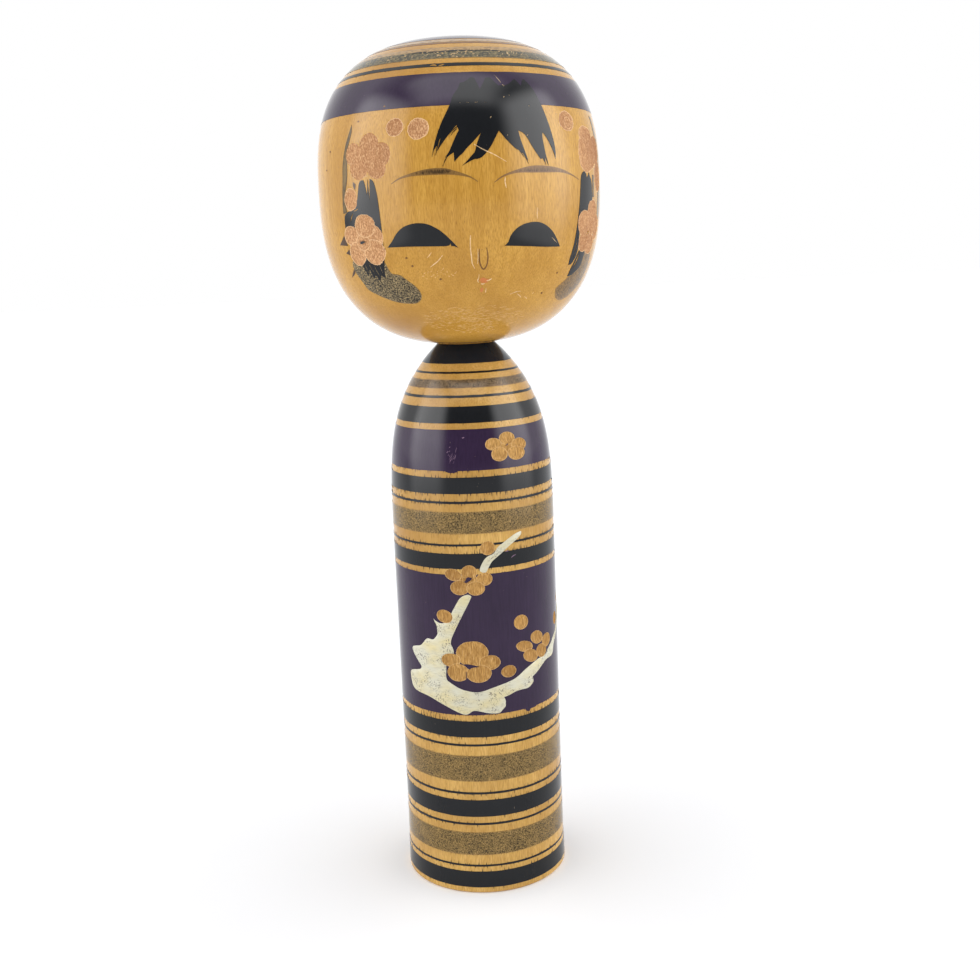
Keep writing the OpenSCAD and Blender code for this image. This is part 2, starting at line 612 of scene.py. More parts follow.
# Dye left standing at the blossoms' hearts, and between two petals
TORSO_ISLANDS = [
    [(6.6, 131.8), (7.6, 132.4), (7.4, 131.9)],
    [(-7.4, 94.3), (-6.9, 94.6), (-6.6, 95.5), (-5.9, 95.7), (-5.0, 95.3), (-5.4, 94.7),
     (-6.0, 94.4), (-6.7, 93.9)],
    [(-8.4, 70.0), (-8.2, 70.3), (-6.0, 70.0), (-4.2, 69.5), (-4.4, 69.3), (-6.2, 69.2),
     (-6.8, 68.6), (-7.2, 69.0)],
    [(-8.0, 65.2), (-7.8, 65.2), (-7.75, 68.0), (-7.9, 68.0)],
]
TORSO_SCOOP = 0.38

# The same on the head: with no rims left, with rims round whole blossoms, with all rims
HEAD_WORN = [
    (-31.0, 212.7, 3.1, 2.7), (-36.4, 210.3, 2.9, 3.0), (-26.8, 209.9, 2.6, 2.9),
    (-34.6, 207.0, 3.2, 3.0), (-28.7, 206.6, 2.9, 2.7), (-31.5, 209.5, 3.0, 2.5),
]
HEAD_MERGED = [
    (35.5, 213.6, 4.2, 2.8), (33.4, 209.3, 3.0, 4.6), (35.0, 207.2, 4.2, 2.9),
    (42.0, 210.5, 3.8, 4.0), (43.6, 203.5, 3.4, 4.0), (37.5, 209.6, 4.5, 4.3),
    (38.6, 193.6, 4.0, 3.8), (33.2, 191.2, 3.3, 3.4), (42.8, 190.0, 3.0, 3.4),
    (34.4, 186.2, 3.3, 2.6), (38.8, 185.6, 3.6, 2.6), (37.8, 190.0, 3.0, 2.6),
]
HEAD_OUTLINED = [
    (-38.3, 199.2, 2.6, 2.9),
    (-39.6, 190.0, 3.4, 2.5), (-31.0, 189.3, 2.9, 3.0), (-38.6, 185.3, 3.4, 3.0),
    (-32.0, 185.6, 3.9, 3.2), (-35.5, 188.2, 2.6, 2.2), (-34.0, 192.3, 3.7, 3.0),
    (-23.1, 216.2, 2.5, 2.3), (-16.6, 215.4, 2.9, 2.6), (26.4, 217.1, 3.2, 2.6),
    (27.2, 216.7, 1.5, 1.6),
]
HEAD_ISLANDS = [
    [(-36.4, 188.4), (-35.4, 188.6), (-34.2, 188.3), (-35.6, 187.8), (-36.4, 187.8)],
    [(35.8, 188.0), (35.9, 188.5), (37.4, 189.3), (37.1, 188.6)],
]
HEAD_SCOOP = 0.3

torso_carving = Carving(TORSO_SCOOP, 0.02, TORSO_ISLANDS, TORSO_PETALS)
head_carving = Carving(HEAD_SCOOP, 0.05, HEAD_ISLANDS, HEAD_OUTLINED, HEAD_MERGED, HEAD_WORN)

# Rings on the torso: lower and upper height, and ticks per millimetre on each edge
BLACK_RINGS = [
    (1.9, 6.8, 0.1, 0.2), (23.9, 29.0, 0.15, 0.35), (48.3, 53.1, 0.15, 1.2),
    (98.0, 102.3, 0.5, 1.4), (119.3, 123.8, 1.0, 0.7), (138.6, 143.0, 0.05, 0.05),
]
NECK_CAP = (154.3, 159.3)
FINE_LINES = [
    (8.4, 8.95, 0.2, 0.3), (21.35, 21.95, 0.2, 0.2), (30.85, 31.45, 0.2, 0.4),
    (45.55, 46.15, 0.2, 0.2), (104.5, 105.05, 1.3, 0.5), (116.55, 117.15, 0.9, 0.8),
    (145.35, 145.95, 0.05, 0.05), (151.7, 152.15),
]
# The purple bands, each with the places where it ran below its edge: s, half width, drop
LOW_PURPLE, LOW_PURPLE_RUNS = (55.0, 96.3, 0.5, 0.5), [(10.4, 0.9, 1.0), (12.2, 1.6, 0.4)]
HIGH_PURPLE, HIGH_PURPLE_RUNS = (125.7, 136.9, 0.6, 0.05), [(-9.6, 1.8, 0.5)]
STIPPLED_BANDS = [
    (12.0, 19.0, 1.5, 0.8), (34.8, 42.6, 1.5, 0.8), (108.0, 114.2, 1.5, 0.8),
]
SHOULDER_STIPPLE = (147.9, 150.1, 0.3, 0.1)
# Longer hairs of ink above two of the black rings: s, foot, tip
INK_HAIRS = [
    (-23.6, 53.0, 54.4), (-22.5, 53.0, 54.9), (-21.2, 53.0, 54.2), (-19.8, 53.0, 54.8),
    (-18.1, 53.0, 54.3), (-16.6, 53.0, 54.7), (-14.9, 53.0, 54.1), (-4.0, 102.2, 103.5),
    (-3.3, 102.2, 103.2), (-2.6, 102.2, 103.6), (7.5, 102.2, 103.3), (9.5, 102.2, 103.5),
    (11.0, 102.2, 103.1),
]
# Fine scuffs in the upper purple band: seed, count, centre, half extents, length, width,
# heading and spread in degrees
PURPLE_SCUFFS = (5, 14, (-9.4, 130.2), (1.6, 2.6), 1.4, 0.12, 65, 15)
TORSO_NICKS = [
    [(-6.3, 134.6, 0.3), (-5.7, 134.8, 0.3)], [(4.8, 102.2, 0.2), (5.6, 102.4, 0.3)],
    [(6.5, 100.2, 0.1), (7.2, 100.7, 0.2), (8.0, 100.9, 0.1)],
]

# Rings on the head
HEAD_PURPLE = (220.8, 229.0, 0.05, 0.05)
HEAD_LINE = (230.8, 231.6, 0.1, 0.1)
WORN_LOW = (233.0, 235.2, 0.6, 0.2)
WORN_HIGH = (235.2, 236.2, 0.2, 0.6)
BROWN_LINE = (237.5, 237.9)
GREY_LINE = (238.1, 238.9)
CROWN_CAP_H = 239.2
WORN_INK = [(-23, 234.9, 0.1), (-18, 235.1, 0.35), (-12, 234.9, 0.25), (-6, 235.1, 0.4),
            (1, 235.0, 0.2), (6, 235.1, 0.35), (11, 234.9, 0.1)]
# Small bare dashes over the worn band, laid out as the purple band's scuffs are
BAND_DASHES = (7, 60, (-6.0, 234.3), (26.0, 1.2), 0.9, 0.13, 10, 15)
# Chips in the fine line above the purple band
LINE_CHIPS = [
    [(-14.2, 231.2, 0.1), (-13.0, 231.3, 0.35), (-12.0, 231.1, 0.2)],
    [(-11.4, 231.0, 0.2), (-10.2, 231.2, 0.3), (-9.6, 231.4, 0.1)],
]

# The gnarled plum branch, once round its outline from the top of its left side
TRUNK = [
    (-6.2, 90.8), (-8.5, 90.0), (-10.0, 87.6), (-11.5, 84.9), (-12.6, 82.7), (-14.0, 82.0),
    (-15.0, 81.95), (-16.4, 82.45), (-17.1, 83.1), (-16.75, 82.25), (-16.1, 81.25),
    (-16.0, 80.0), (-15.9, 78.6), (-16.75, 77.6), (-17.5, 76.75), (-19.25, 77.0),
    (-20.0, 76.8), (-21.5, 75.1), (-22.5, 74.25), (-25.25, 73.7), (-26.0, 73.25),
    (-26.3, 72.75), (-25.9, 71.75), (-23.75, 69.4), (-22.75, 68.6), (-22.4, 68.0),
    (-22.6, 67.4), (-23.5, 66.9), (-27.25, 66.05), (-27.9, 65.25), (-28.0, 64.25),
    (-27.25, 61.5), (-26.25, 60.6), (-25.0, 60.1), (-21.5, 59.75), (-19.5, 59.4),
    (-15.5, 57.9), (-11.5, 56.1), (-10.0, 55.5), (-8.75, 55.1), (-7.75, 55.25),
    (-6.5, 56.25), (-5.75, 56.4), (-4.0, 56.05), (-2.0, 55.4), (1.25, 55.05), (2.0, 55.9),
    (3.2, 57.0), (3.1, 57.9), (3.25, 58.6), (2.75, 59.75), (4.75, 60.25), (6.0, 60.8),
    (8.25, 61.1), (10.75, 60.9), (12.4, 62.0), (12.8, 62.6), (12.4, 63.95), (14.5, 65.0),
    (17.5, 67.0), (19.0, 67.5), (21.75, 67.55), (22.75, 67.9), (23.5, 68.75), (23.6, 70.0),
    (26.0, 72.5), (29.5, 75.8), (33.6, 80.2), (33.0, 80.9), (29.0, 77.4), (26.0, 73.9),
    (24.0, 73.1), (21.5, 71.25), (20.0, 70.4), (18.5, 68.9), (15.25, 68.8), (13.75, 68.4),
    (10.0, 66.9), (8.0, 65.6), (6.0, 64.5), (0.0, 63.05), (-4.0, 61.8), (-6.25, 61.9),
    (-9.75, 62.75), (-12.5, 64.4), (-14.05, 65.45), (-13.6, 69.25), (-14.0, 73.0),
    (-11.25, 73.3), (-11.2, 74.5), (-12.25, 76.5), (-10.5, 80.25), (-8.0, 85.0),
    (-6.5, 87.75), (-5.4, 90.0),
]
TWIG = [
    (-2.8, 97.8), (-2.7, 97.2), (-2.0, 96.8), (-1.3, 96.7), (-0.8, 97.1), (-0.5, 97.8),
    (0.6, 99.7), (1.6, 100.5), (3.6, 101.9), (6.0, 103.8), (7.8, 104.8), (9.8, 106.3),
    (10.1, 106.9), (10.0, 107.4), (8.0, 107.0), (4.8, 105.2), (2.4, 103.7), (1.8, 102.5),
    (1.0, 101.8), (-0.2, 101.5), (-1.2, 100.8), (-2.0, 99.6), (-2.5, 98.6),
]

# The fringe, once round its outline: along the crown, then tip by tip from right to left
FRINGE = [
    (-5.8, 224.8), (-5.2, 226.2), (-4.0, 226.4), (-2.0, 227.6), (-1.0, 227.4), (0.2, 224.5),
    (1.4, 226.2), (2.2, 227.4), (3.5, 227.5), (5.6, 225.4), (8.2, 225.5), (11.0, 227.2),
    (12.6, 225.4), (13.2, 226.6), (14.1, 227.3), (16.1, 225.0), (17.3, 222.0), (18.5, 218.5),
    (20.3, 212.0), (20.7, 209.5), (20.6, 207.3), (20.0, 209.0), (18.4, 212.0), (16.8, 213.9),
    (16.5, 212.8), (17.2, 208.6), (18.0, 206.0), (17.0, 208.0), (17.1, 206.1), (16.3, 207.4),
    (15.6, 207.2), (13.4, 210.0), (11.6, 213.0), (10.6, 213.8), (9.5, 214.2), (10.0, 211.8),
    (11.2, 208.6), (11.8, 206.8), (10.8, 208.2), (9.7, 210.5), (10.3, 208.6), (9.4, 209.4),
    (8.6, 209.6), (6.4, 211.6), (4.2, 214.2), (3.4, 212.9), (1.8, 210.2), (-0.2, 208.0),
    (-1.4, 207.4), (-2.6, 207.4), (-5.2, 206.1), (-3.0, 208.4), (-2.2, 209.2), (-1.7, 211.2),
    (-0.5, 213.7), (-2.8, 211.4), (-4.2, 210.2), (-5.4, 208.8), (-6.4, 208.1), (-7.5, 206.9),
    (-7.6, 209.2), (-9.2, 208.2), (-10.2, 206.9), (-8.6, 209.6), (-7.3, 212.4), (-6.1, 214.5),
    (-6.6, 215.8), (-9.4, 212.8), (-11.7, 209.7), (-10.7, 213.0), (-12.0, 210.6),
    (-12.8, 209.6), (-12.5, 211.0), (-11.0, 215.6), (-8.0, 221.0), (-7.4, 223.0),
]
# Single hairs off the fringe's tips
FRINGE_HAIRS = [
    [(-6.3, 215.5, 0.25), (-7.4, 214.7, 0.14), (-8.6, 213.5, 0.04)],
    [(-6.6, 214.9, 0.2), (-7.6, 214.0, 0.12), (-8.2, 213.2, 0.04)],
    [(-11.9, 212.4, 0.4), (-12.6, 210.2, 0.2), (-13.1, 208.3, 0.04)],
    [(-11.3, 212.2, 0.3), (-11.8, 210.2, 0.2), (-12.2, 208.6, 0.04)],
    [(-8.0, 210.2, 0.4), (-9.2, 208.4, 0.2), (-10.5, 205.9, 0.04)],
    [(-8.4, 209.6, 0.3), (-9.8, 208.0, 0.04)], [(-3.4, 207.6, 0.4), (-5.5, 205.9, 0.04)],
    [(9.2, 210.6, 0.3), (10.5, 208.7, 0.22), (11.9, 206.1, 0.04)],
    [(9.4, 210.9, 0.2), (10.7, 209.2, 0.18), (11.5, 207.0, 0.04)],
    [(9.2, 209.8, 0.25), (10.0, 208.6, 0.15), (10.8, 207.6, 0.04)],
    [(16.2, 208.8, 0.5), (16.7, 207.4, 0.2), (17.2, 205.8, 0.04)],
    [(16.6, 209.0, 0.3), (17.3, 207.4, 0.2), (18.0, 205.7, 0.04)],
    [(16.4, 213.4, 0.2), (17.0, 214.2, 0.1)],
]
# The hair in front of each ear, most of it behind the blossoms
LOCKS = [
    [(-34.6, 203.6), (-35.2, 201.0), (-35.7, 198.5), (-38.0, 196.6), (-40.5, 196.0),
     (-41.6, 195.0), (-41.8, 192.4), (-41.0, 187.5), (-38.5, 184.0), (-37.5, 181.8),
     (-36.4, 179.4), (-35.2, 181.2), (-34.6, 178.6), (-33.4, 179.8), (-32.6, 177.8),
     (-31.4, 179.6), (-30.2, 178.9), (-29.6, 181.6), (-28.6, 184.6), (-28.2, 191.5),
     (-28.5, 197.0), (-28.8, 200.0), (-29.6, 203.4), (-30.9, 204.0), (-31.3, 198.5),
     (-31.6, 204.0), (-32.0, 199.9), (-32.8, 203.5), (-33.2, 203.9)],
    [(31.4, 203.8), (32.8, 204.7), (34.0, 204.0), (34.3, 203.0), (35.2, 203.4), (35.6, 204.5),
     (36.4, 203.2), (37.5, 202.4), (37.8, 200.0), (38.5, 193.0), (36.5, 189.0), (33.0, 188.5),
     (31.2, 190.0), (31.0, 187.5), (31.5, 184.0), (31.0, 182.0), (29.6, 180.4), (28.3, 180.3),
     (28.2, 182.0), (28.9, 185.0), (29.6, 191.5), (30.3, 197.0), (31.0, 203.0)],
    [(32.5, 184.2), (36.0, 184.2), (36.0, 182.0), (35.5, 179.5), (33.5, 178.5), (31.5, 177.5),
     (29.6, 177.3), (30.0, 179.0), (31.0, 181.0), (32.0, 183.5)],
]
LOCK_GAPS = [
    [(-34.8, 183.0, 0.1), (-34.5, 181.6, 0.35), (-33.6, 180.0, 0.1)],
    [(-33.2, 182.6, 0.1), (-32.6, 180.6, 0.25), (-32.0, 179.2, 0.1)],
    [(-36.6, 182.4, 0.1), (-36.2, 181.0, 0.25), (-36.0, 180.0, 0.1)],
    [(-31.2, 182.8, 0.1), (-30.8, 180.8, 0.2), (-30.6, 179.6, 0.1)],
    [(-37.6, 195.8, 0.1), (-38.6, 194.6, 0.3), (-39.0, 193.6, 0.1)],
    [(-35.6, 196.8, 0.1), (-36.6, 196.4, 0.25), (-37.4, 196.3, 0.1)],
    [(30.2, 188.0, 0.1), (30.2, 185.0, 0.25), (29.9, 182.0, 0.1)],
    [(32.9, 183.4, 0.1), (32.2, 181.4, 0.5), (31.0, 179.4, 0.1)],
    [(30.6, 182.0, 0.1), (30.2, 180.4, 0.2), (29.4, 178.8, 0.1)],
]
# A fine strand behind each lock
STRANDS = [
    [(-37.5, 218.0), (-38.4, 216.0), (-40.0, 212.0), (-41.0, 208.0), (-41.2, 204.0),
     (-41.8, 200.0), (-41.9, 195.8), (-40.2, 196.0), (-40.8, 200.0), (-39.2, 204.0),
     (-39.0, 208.0), (-38.8, 212.0), (-37.2, 216.0)],
    [(38.2, 203.8), (39.5, 203.8), (39.4, 198.0), (38.2, 198.0)],
    [(41.6, 219.5), (43.6, 219.0), (45.4, 214.0), (46.8, 200.0), (46.6, 194.0),
     (43.6, 190.0), (42.6, 194.0), (44.6, 204.0), (44.0, 210.0), (42.8, 215.0)],
]
# Thorn-like dabs of thick ink round the left lock
THORNS = [
    [(-46.2, 187.8), (-43.0, 190.2), (-42.0, 187.5)],
    [(-43.8, 185.6), (-41.8, 186.6), (-41.8, 185.0)],
    [(-45.0, 179.2), (-42.0, 181.6), (-42.0, 180.3)],
    [(-36.9, 203.6), (-37.0, 202.4), (-36.3, 201.5), (-35.9, 203.0)],
    [(-29.4, 186.8), (-28.0, 186.4), (-28.4, 185.0), (-29.2, 184.0)],
]
LEFT_SMUDGE = [
    (-42.1, 183.6), (-42.2, 181.0), (-41.0, 179.0), (-40.0, 177.5), (-39.3, 175.8),
    (-36.5, 174.6), (-32.0, 173.0), (-28.0, 172.1), (-24.0, 171.9), (-22.0, 172.0),
    (-20.2, 173.0), (-19.6, 174.5), (-21.0, 176.6), (-23.6, 178.4), (-25.0, 179.6),
    (-27.5, 179.8), (-28.2, 180.6), (-29.0, 183.0), (-31.0, 185.0), (-36.0, 186.0),
]
RIGHT_SMUDGE = [
    (26.0, 174.3), (28.5, 176.0), (30.0, 176.8), (33.5, 180.6), (36.0, 184.6), (41.0, 184.6),
    (43.0, 180.0), (42.2, 175.0), (38.4, 172.5), (36.0, 171.5), (33.0, 170.8), (29.5, 171.2),
    (27.0, 172.5),
]

LEFT_EYE = [
    (-27.2, 186.6), (-25.5, 188.1), (-24.2, 189.8), (-22.4, 191.3), (-20.3, 192.1),
    (-17.8, 192.4), (-15.4, 192.1), (-13.2, 191.1), (-11.2, 189.7), (-9.2, 187.7),
    (-7.5, 185.8), (-8.6, 186.3), (-9.3, 186.3), (-9.5, 187.0), (-9.8, 186.3),
    (-14.0, 186.4), (-20.0, 186.6),
]
RIGHT_EYE = [
    (4.9, 185.9), (6.0, 186.7), (6.4, 188.2), (7.6, 189.7), (9.4, 190.9), (11.6, 191.5),
    (13.8, 191.7), (16.0, 191.3), (18.2, 190.2), (20.0, 188.7), (21.5, 187.0), (22.8, 185.2),
    (18.0, 185.2), (11.0, 185.6),
]
LEFT_BROW = [
    (-24.4, 202.3, 0.15), (-22.0, 203.5, 0.4), (-18.5, 204.3, 0.8), (-14.5, 204.7, 1.5),
    (-10.5, 204.7, 1.6), (-7.5, 204.2, 1.0), (-4.0, 203.2, 0.4), (-1.8, 201.9, 0.15),
]
RIGHT_BROW = [
    (2.4, 201.6, 0.15), (4.8, 203.1, 0.4), (8.5, 204.2, 0.8), (13.0, 204.7, 1.7),
    (18.0, 204.7, 1.6), (22.5, 204.4, 0.9), (26.5, 203.5, 0.4), (30.0, 202.3, 0.15),
]
NOSE = [(-1.9, 185.4, 0.2), (-2.0, 183.4, 0.32), (-1.7, 181.4, 0.34), (-0.8, 180.2, 0.36),
        (0.1, 181.2, 0.34), (0.4, 183.4, 0.3), (0.0, 185.6, 0.2)]
MOUTH = [
    [(-2.0, 177.3, 0.3), (-0.9, 177.6, 0.9), (0.2, 177.4, 0.6), (1.0, 177.6, 0.2)],
    [(-1.5, 176.9, 0.3), (-0.2, 177.0, 0.5), (0.6, 176.9, 0.2)],
    [(-1.5, 175.0, 0.7), (-1.1, 174.9, 1.2), (-0.7, 174.8, 0.7)],
]

# Scratches on the head, through ink and varnish
HEAD_SCRATCHES = [
    [(-2.4, 211.0, 0.2), (0.0, 209.6, 0.35), (2.6, 208.4, 0.3), (5.8, 206.6, 0.12)],
    [(5.0, 228.4, 0.05), (6.0, 227.0, 0.22), (6.6, 226.2, 0.1)],
    [(6.8, 225.8, 0.1), (7.1, 225.4, 0.22), (7.4, 225.1, 0.1)],
    [(-4.2, 188.8, 0.3), (-4.3, 186.0, 0.35), (-4.1, 183.6, 0.4), (-3.9, 181.8, 0.3),
     (-3.2, 180.4, 0.15)],
    [(-2.4, 185.4, 0.12), (-2.3, 183.4, 0.2), (-2.5, 181.6, 0.12)],
    [(-11.8, 184.1, 0.15), (-13.2, 182.7, 0.35), (-14.6, 181.8, 0.3), (-15.6, 181.2, 0.12)],
    [(-14.7, 185.0, 0.1), (-15.4, 184.2, 0.25), (-16.1, 183.6, 0.1)],
    [(-2.0, 179.0, 0.1), (-2.1, 178.0, 0.3), (-2.4, 177.4, 0.3), (-2.1, 176.8, 0.1)],
    [(-1.4, 176.5, 0.3), (-0.8, 176.4, 0.35), (-0.2, 176.6, 0.1)],
    [(0.2, 177.2, 0.4), (1.0, 177.4, 0.4), (1.7, 177.7, 0.2)],
    [(0.2, 175.2, 0.3), (0.1, 174.2, 0.3)],
    [(8.2, 173.4, 0.12), (10.2, 174.0, 0.2), (11.8, 174.1, 0.1)],
    [(10.8, 173.4, 0.15), (12.0, 172.8, 0.3), (12.4, 172.4, 0.1)],
    [(13.6, 172.6, 0.1), (14.6, 172.2, 0.25), (14.9, 172.0, 0.1)],
    [(16.4, 173.2, 0.3), (16.8, 173.6, 0.15)],
    [(19.4, 187.6, 0.12), (20.4, 186.9, 0.2), (21.4, 186.2, 0.12)],
    [(14.3, 195.2, 0.2), (14.2, 193.8, 0.3), (14.3, 192.4, 0.1)],
    [(5.3, 202.8, 0.25), (5.2, 201.6, 0.4), (5.5, 200.2, 0.2)],
    [(2.2, 217.3, 0.2), (2.5, 217.7, 0.3)], [(13.6, 220.2, 0.2), (13.8, 220.6, 0.3)],
    [(11.9, 212.9, 0.2), (12.2, 213.2, 0.2)], [(6.5, 222.4, 0.2), (6.8, 222.7, 0.3)],
    [(8.1, 223.0, 0.2), (8.4, 223.0, 0.2)], [(6.3, 212.9, 0.1), (6.6, 213.2, 0.2)],
    [(-5.8, 221.2, 0.1), (-5.2, 221.2, 0.1)], [(-3.9, 221.3, 0.1), (-3.0, 221.2, 0.1)],
    [(-1.6, 221.2, 0.1), (-0.7, 221.3, 0.15)], [(0.9, 221.2, 0.1), (1.6, 221.2, 0.1)],
]
# How much of its listed width a scratch has
SCRATCH_SHARE = 0.7
scratches = Group([brush(*[(s, h, SCRATCH_SHARE * width) for s, h, width in scratch])
                   for scratch in HEAD_SCRATCHES])
# Rubbed varnish on the chin and the left cheek, laid out as the purple band's scuffs are
CHIN_RUB = (1, 420, (-3.0, 167.0), (20.0, 3.8), 1.6, 0.09, 0, 5)
CHEEK_RUB = (2, 26, (-13.5, 179.4), (5.5, 1.5), 0.6, 0.18, 20, 40)
# Small brown marks on the head: s and h
BROWN_MARKS = [(-50.0, 207.4), (-47.5, 212.0), (-35.0, 218.5), (-13.0, 178.0), (-22.0, 183.7),
               (-20.6, 181.6), (24.0, 178.3), (20.2, 173.2), (-26.5, 221.5)]

# ------------------------------------------------------------------ materials


def srgb(red, green, blue):
    """A colour as a node wants it, from its everyday 0 to 255 values."""
    def linear(value):
        value /= 255
        return value / 12.92 if value <= 0.04045 else ((value + 0.055) / 1.055) ** 2.4
    return (linear(red), linear(green), linear(blue), 1.0)


class Graph:
    """The shader nodes of a material, a light or the world, being wired up."""

    def __init__(self, owner):
        owner.use_nodes = True
        self.tree = owner.node_tree

    def add(self, kind, **settings):
        node = self.tree.nodes.new(kind)
        for setting, value in settings.items():
            setattr(node, setting, value)
        return node

    def feed(self, socket, value):
        """Links a socket, or sets it. A colour has its everyday 0 to 255 values."""
        if isinstance(value, bpy.types.NodeSocket):
            self.tree.links.new(value, socket)
        elif socket.type == "RGBA":
            socket.default_value = srgb(*value)
        else:
            socket.default_value = value

    def calc(self, operation, *values):
        node = self.add("ShaderNodeMath", operation=operation)
        for socket, value in zip(node.inputs, values):
            self.feed(socket, value)
        return node.outputs["Value"]

    def step(self, value, start, end, kind="LINEAR"):
        """0 up to start, 1 from end on, and a ramp between. End may be the lower one."""
        node = self.add("ShaderNodeMapRange", interpolation_type=kind)
        self.feed(node.inputs["Value"], value)
        node.inputs["From Min"].default_value = start
        node.inputs["From Max"].default_value = end
        return node.outputs["Result"]


class Recipe(Graph):
    """A material being mixed. Patterns are laid in the piece's own space, in millimetres."""

    def __init__(self, name, **sockets):
        self.material = bpy.data.materials.new(name)
        super().__init__(self.material)
        self.shader = self.tree.nodes["Principled BSDF"]
        self.space = self.add("ShaderNodeTexCoord").outputs["Object"]
        for socket, value in sockets.items():
            self.shader.inputs[socket.replace("_", " ")].default_value = value

    def noise(self, size, detail=2.0, rough=0.5, shift=0.0):
        """Noise whose features are about size = (x, y, z) millimetres across."""
        mapping = self.add("ShaderNodeMapping")
        self.feed(mapping.inputs["Vector"], self.space)
        mapping.inputs["Scale"].default_value = [1 / (MM * length) for length in size]
        mapping.inputs["Location"].default_value = (shift, shift * 1.7, shift * 0.6)
        noise = self.add("ShaderNodeTexNoise")
        self.feed(noise.inputs["Vector"], mapping.outputs["Vector"])
        noise.inputs["Scale"].default_value = 1.0
        noise.inputs["Detail"].default_value = detail
        noise.inputs["Roughness"].default_value = rough
        return noise.outputs["Fac"]

    def mix(self, share, a, b):
        node = self.add("ShaderNodeMix", data_type="RGBA")
        self.feed(node.inputs["Factor"], share)
        for socket, value in (("A", a), ("B", b)):
            entry = [s for s in node.inputs if s.name == socket and s.type == "RGBA"][0]
            self.feed(entry, value)
        return [s for s in node.outputs if s.type == "RGBA"][0]

    def tint(self, colour, other, pattern, start, end, share=None):
        """Blends in another colour as a pattern goes from start to end, by a share."""
        cover = self.step(pattern, start, end)
        if share is not None:
            cover = self.calc("MULTIPLY", cover, share)
        return self.mix(cover, colour, other)

    def bump(self, *layers):
        """Bumps from (height, depth in mm) layers, one over the other."""
        normal = None
        for height, depth in layers:
            node = self.add("ShaderNodeBump")
            node.inputs["Distance"].default_value = depth * MM
            self.feed(node.inputs["Height"], height)
            if normal:
                self.feed(node.inputs["Normal"], normal)
            normal = node.outputs["Normal"]
        self.feed(self.shader.inputs["Normal"], normal)

    def carved(self):
        """What Skin wrote at each corner: how far in it is from a rim or an edge."""
        return self.add("ShaderNodeAttribute", attribute_name="carved").outputs["Fac"]

    def finish(self, colour, roughness=None):
        self.feed(self.shader.inputs["Base Color"], colour)
        if roughness is not None:
            self.feed(self.shader.inputs["Roughness"], roughness)
        return self.material


# Every varnished surface has the same clear coat, which makes all of its gloss
VARNISH = {"Coat_Weight": 1.0, "Coat_Roughness": 0.13, "Coat_IOR": 1.33,
           "Specular_IOR_Level": 0.0}


def grain_colour(recipe, pale, mid, deep, shift):
    """Straight-grained seasoned wood: broad streaks, fine fibres and short dark flecks."""
    streaks = recipe.noise((1.6, 1.6, 50.0), detail=4, rough=0.6, shift=shift)
    fibres = recipe.noise((0.22, 0.22, 2.2), detail=2, shift=shift + 3)
    cloud = recipe.noise((26.0, 26.0, 40.0), detail=2, shift=shift + 7)
    pores = recipe.noise((0.25, 0.25, 1.2), detail=1, shift=shift + 11)
    colour = recipe.tint(pale, mid, streaks, 0.34, 0.66)
    colour = recipe.tint(colour, deep, cloud, 0.4, 0.85)
    colour = recipe.tint(colour, deep, fibres, 0.4, 0.75, 0.8)
    return recipe.tint(colour, (104, 68, 32), pores, 0.68, 0.78, 0.45), fibres


def varnished_wood(name, pale, mid, deep, shift):
    """The turned wood under its varnish, with a little brown dirt in patches."""
    recipe = Recipe(name, **VARNISH)
    colour, fibres = grain_colour(recipe, pale, mid, deep, shift)
    dirt = recipe.noise((4.0, 4.0, 6.0), detail=4, rough=0.7, shift=shift + 19)
    colour = recipe.tint(colour, (120, 80, 40), dirt, 0.68, 0.8, 0.4)
    recipe.bump((fibres, 0.006))
    rough = recipe.calc("MULTIPLY_ADD", fibres, 0.25, 0.5)
    return recipe.finish(colour, rough)


def scooped_wood(name, pale, mid, deep, rim, rim_width, tear_size, tear_share):
    """Bare wood in the gouged blossoms: torn fibres, and a pale cut rim."""
    recipe = Recipe(name, Roughness=0.7, Specular_IOR_Level=0.15)
    colour, fibres = grain_colour(recipe, pale, mid, deep, 31.0)
    torn = recipe.noise(tear_size, detail=3, rough=0.65, shift=5)
    colour = recipe.tint(colour, deep, torn, 0.45, 0.62, tear_share)
    colour = recipe.tint(colour, rim, torn, 0.42, 0.34, tear_share)
    edge = recipe.calc("ADD", recipe.carved(), recipe.calc("MULTIPLY", torn, rim_width))
    colour = recipe.tint(colour, rim, edge, 1.25 * rim_width, 0.7 * rim_width)
    recipe.bump((torn, 0.08), (fibres, 0.03))
    return recipe.finish(colour)


def coat_of_paint(name, deep, light, chips):
    """Ink or dye under varnish: brushed unevenness, with a few chips down to pale wood."""
    recipe = Recipe(name, Roughness=0.45, **VARNISH)
    brushed = recipe.noise((0.5, 0.5, 6.0), detail=3, shift=13)
    cloud = recipe.noise((9.0, 9.0, 9.0), detail=2, shift=23)
    share = recipe.calc("MULTIPLY", recipe.calc("ADD", brushed, cloud), 0.5)
    colour = recipe.mix(share, deep, light)
    specks = recipe.noise((0.4, 0.4, 0.6), detail=1, shift=17)
    colour = recipe.tint(colour, (150, 130, 110), specks, 0.80, 0.84, chips)
    recipe.bump((brushed, 0.006))
    return recipe.finish(colour)


